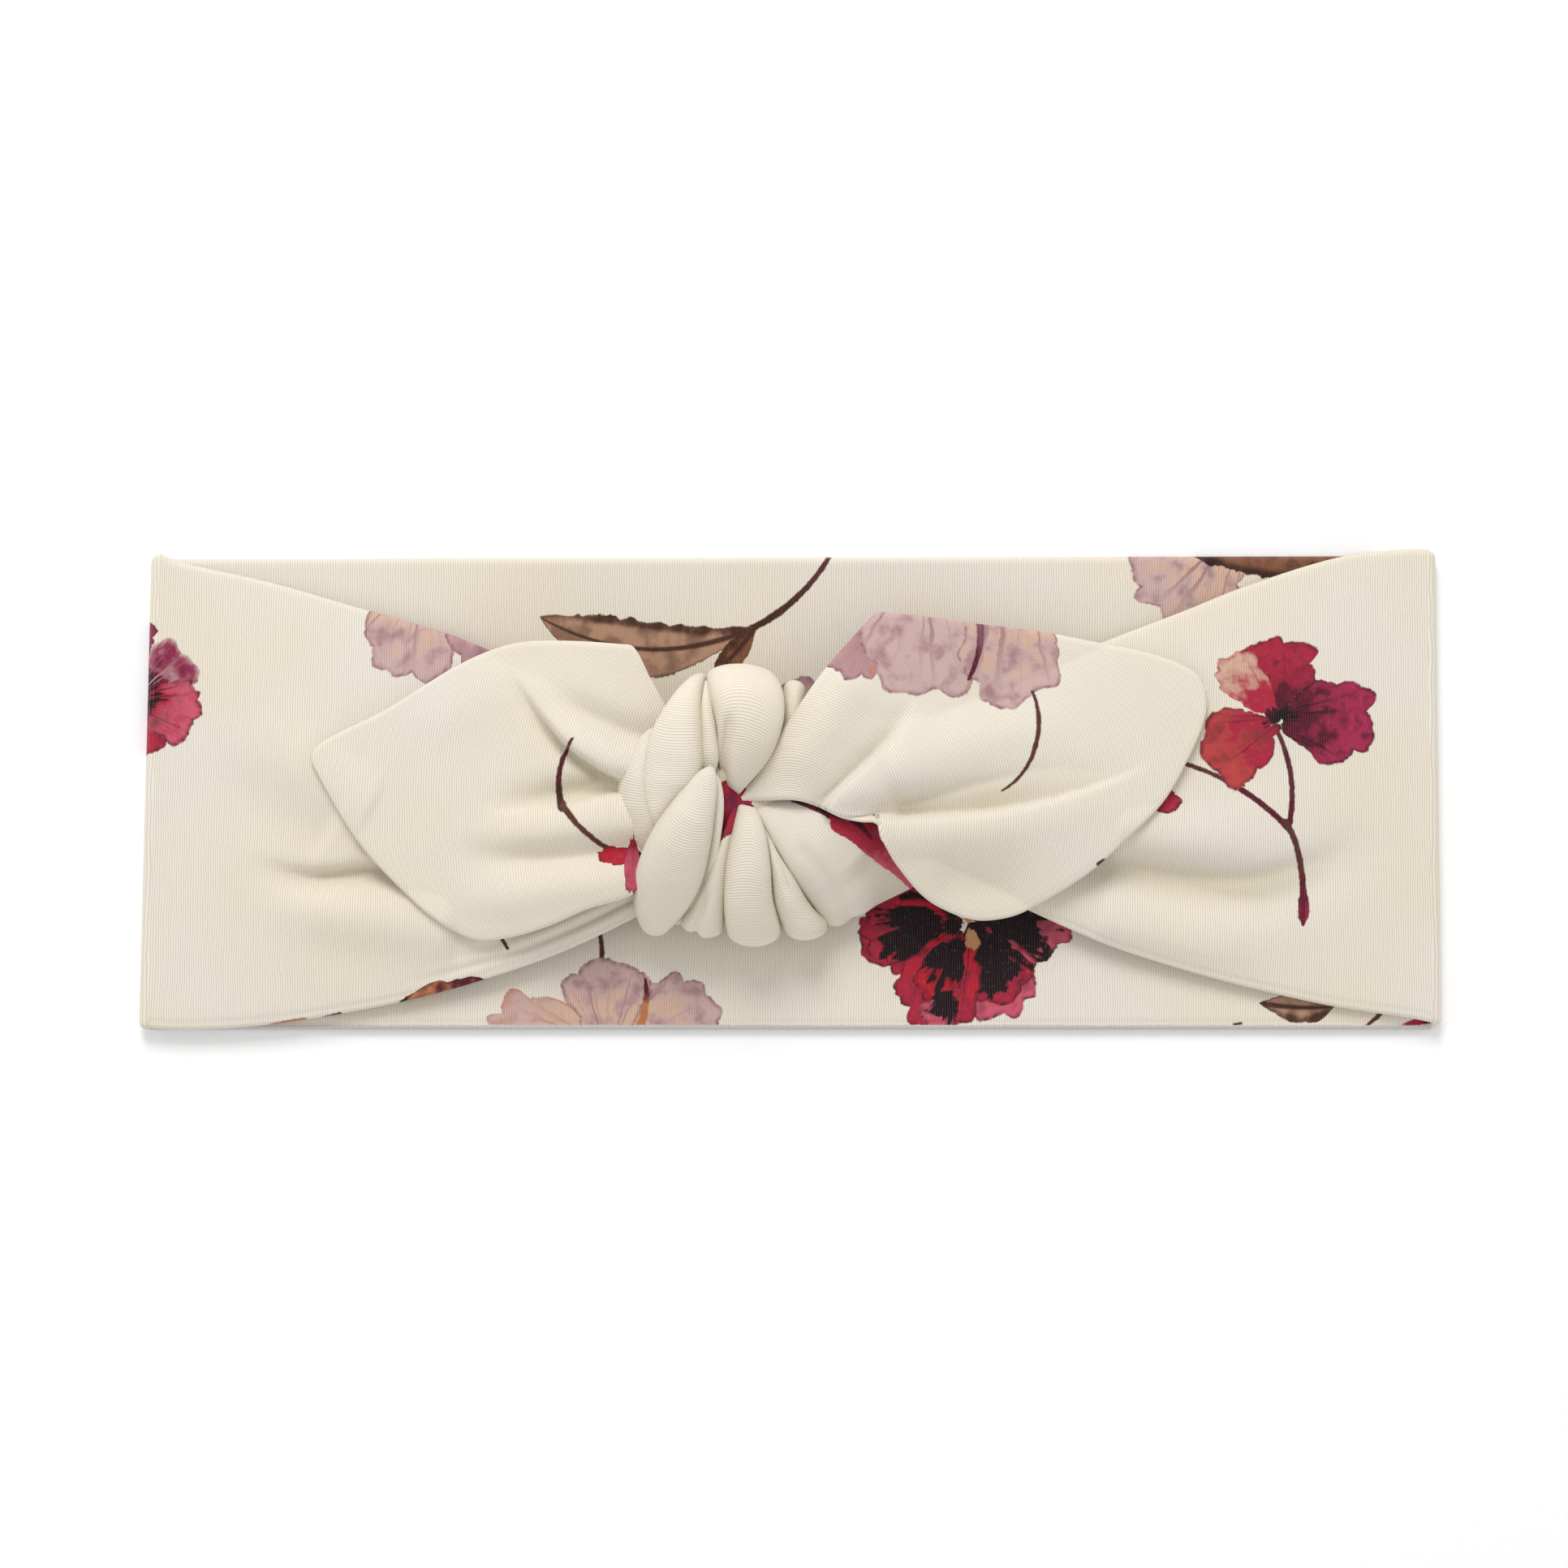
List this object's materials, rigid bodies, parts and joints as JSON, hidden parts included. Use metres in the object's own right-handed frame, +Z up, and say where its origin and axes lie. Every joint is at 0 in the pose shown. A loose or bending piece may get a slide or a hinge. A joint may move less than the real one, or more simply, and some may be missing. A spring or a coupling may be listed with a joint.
{
  "type": "knotted headband",
  "caption": "Wide double-layer knitted cloth headband, tied in one knot at the front with two pointed tails, lying pressed flat.",
  "frame": {"origin": "middle of the flat headband's underside, on the surface that it lies on", "axes": "+X along the flat band towards its right fold, +Y across the band towards its upper edge, +Z up through the knot"},
  "size_m": [0.201, 0.0744, 0.0217],
  "materials": {
    "printed_jersey": "soft matt knit with a watercolour flower print",
    "inner_jersey": "soft matt knit",
    "seam_thread": "matt overlocked edge"
  },
  "bodies": {
    "back_middle": {"back_middle_outer": "printed_jersey", "back_middle_lining": "inner_jersey", "back_middle_seam": "seam_thread"},
    "back_left": {"back_left_outer": "printed_jersey", "back_left_lining": "inner_jersey", "back_left_seam": "seam_thread", "left_fold_outer": "printed_jersey", "left_fold_lining": "inner_jersey"},
    "back_right": {"back_right_outer": "printed_jersey", "back_right_lining": "inner_jersey", "back_right_seam": "seam_thread", "right_fold_outer": "printed_jersey", "right_fold_lining": "inner_jersey"},
    "front_left": {"front_left_outer": "printed_jersey", "front_left_lining": "inner_jersey", "front_left_seam": "seam_thread"},
    "front_right": {"front_right_outer": "printed_jersey", "front_right_lining": "inner_jersey", "front_right_seam": "seam_thread"},
    "knot": {"knot_core": "printed_jersey", "knot_top_lobe": "printed_jersey", "knot_left_wrap": "printed_jersey", "knot_diagonal_wrap": "printed_jersey", "knot_fan_pleats": "printed_jersey", "knot_right_lobe": "printed_jersey", "knot_tail_root": "printed_jersey"},
    "left_tail": {"left_tail_face": "printed_jersey", "left_tail_lining": "inner_jersey", "left_tail_seam": "seam_thread"},
    "right_tail": {"right_tail_face": "printed_jersey", "right_tail_lining": "inner_jersey", "right_tail_seam": "seam_thread"}
  },
  "joints": [
    {"name": "loop_open", "type": "hinge", "parent": "back_middle", "child": "back_left", "pos_m": [-0.026, 0, 0.0014], "axis": [0, 1, 0], "range_deg": [0, 45]},
    {"name": "back_right_open", "type": "hinge", "parent": "back_middle", "child": "back_right", "pos_m": [0.026, 0, 0.0014], "axis": [0, -1, 0], "range_deg": [0, 45]},
    {"name": "left_fold_open", "type": "hinge", "parent": "back_left", "child": "front_left", "pos_m": [-0.09895, 0, 0.00155], "axis": [0, -1, 0], "range_deg": [0, 90], "deforming": ["left_fold_outer", "left_fold_lining"]},
    {"name": "right_fold_open", "type": "hinge", "parent": "back_right", "child": "front_right", "pos_m": [0.09895, 0, 0.00155], "axis": [0, 1, 0], "range_deg": [0, 90], "deforming": ["right_fold_outer", "right_fold_lining"]},
    {"name": "knot_level", "type": "hinge", "parent": "front_left", "child": "knot", "pos_m": [-0.026, 0, 0.0017], "axis": [0, 1, 0], "range_deg": [0, 45]},
    {"name": "left_tail_lift", "type": "hinge", "parent": "knot", "child": "left_tail", "pos_m": [-0.02256, 0, 0.01202], "axis": [0, 1, 0], "range_deg": [0, 85]},
    {"name": "right_tail_lift", "type": "hinge", "parent": "knot", "child": "right_tail", "pos_m": [0.01796, 0, 0.01246], "axis": [0, -1, 0], "range_deg": [0, 85]}
  ],
  "couplings": [
    {"joint": "back_right_open", "follows": "loop_open", "ratio": 1},
    {"joint": "left_fold_open", "follows": "loop_open", "ratio": 2},
    {"joint": "right_fold_open", "follows": "loop_open", "ratio": 2},
    {"joint": "knot_level", "follows": "loop_open", "ratio": 1}
  ]
}
